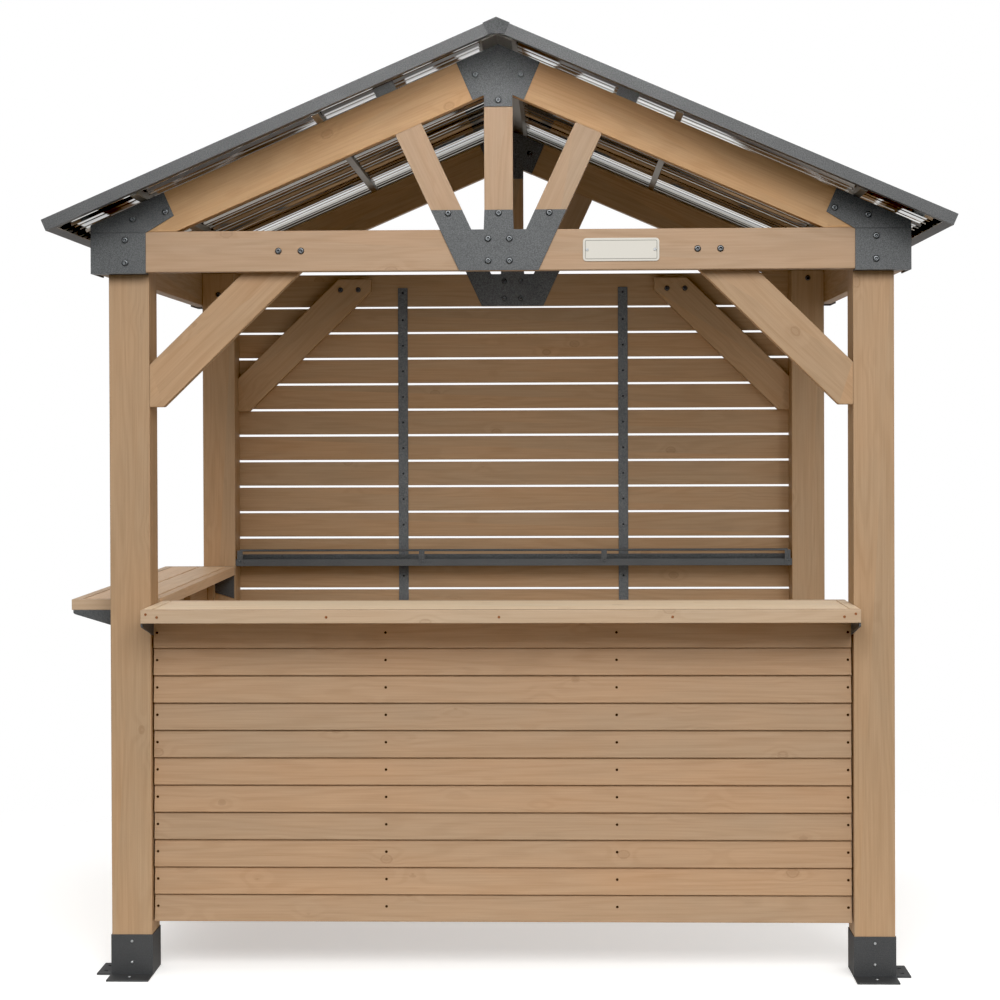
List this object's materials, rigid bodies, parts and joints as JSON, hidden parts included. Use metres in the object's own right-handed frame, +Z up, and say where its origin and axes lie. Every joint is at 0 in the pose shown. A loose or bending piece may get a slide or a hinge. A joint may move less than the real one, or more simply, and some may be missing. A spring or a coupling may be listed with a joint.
{
  "type": "gazebo bar",
  "caption": "Timber gazebo bar with a ribbed steel gable roof on posts, lapped siding on two sides, serving counters and a slatted back wall with a bottle shelf.",
  "frame": {"origin": "on the ground at the centre of the roof's plan", "axes": "+Z up, the serving front faces -Y, the open entry side faces +X"},
  "size_m": [2.5014, 2.11, 2.6728],
  "materials": {
    "frame_timber": "stained, satin",
    "wall_timber": "stained, satin",
    "counter_timber": "stained, satin",
    "dark_steel": "powder coat, fine texture",
    "roof_sheet": "satin, bare metal below",
    "roof_trim": "satin paint"
  },
  "bodies": {
    "root": {"front_left_post": "frame_timber", "front_right_post": "frame_timber", "rear_left_post": "frame_timber", "rear_right_post": "frame_timber", "front_beam": "frame_timber", "rear_beam": "frame_timber", "left_beam": "frame_timber", "right_beam": "frame_timber", "front_knee_braces": "frame_timber", "rear_knee_braces": "frame_timber", "front_left_rafter": "frame_timber", "front_right_rafter": "frame_timber", "rear_left_rafter": "frame_timber", "rear_right_rafter": "frame_timber", "king_posts": "frame_timber", "front_struts": "frame_timber", "rear_struts": "frame_timber", "front_siding": "wall_timber", "front_studs": "wall_timber", "left_siding": "wall_timber", "left_studs": "wall_timber", "rear_slats": "wall_timber", "front_counter": "counter_timber", "left_counter": "counter_timber", "front_left_foot": "dark_steel", "front_right_foot": "dark_steel", "rear_left_foot": "dark_steel", "rear_right_foot": "dark_steel", "front_truss_plates": "dark_steel", "rear_truss_plates": "dark_steel", "front_corner_brackets": "dark_steel", "rear_corner_brackets": "dark_steel", "roof_purlins": "dark_steel", "rafter_clips": "dark_steel", "slat_straps": "dark_steel", "front_counter_brackets": "dark_steel", "left_counter_brackets": "dark_steel", "bottle_shelf": "dark_steel", "left_roof_sheet": "roof_sheet", "right_roof_sheet": "roof_sheet", "ridge_cap": "roof_trim", "front_gable_trim": "roof_trim", "rear_gable_trim": "roof_trim", "left_eave_trim": "roof_trim", "right_eave_trim": "roof_trim"}
  },
  "joints": []
}
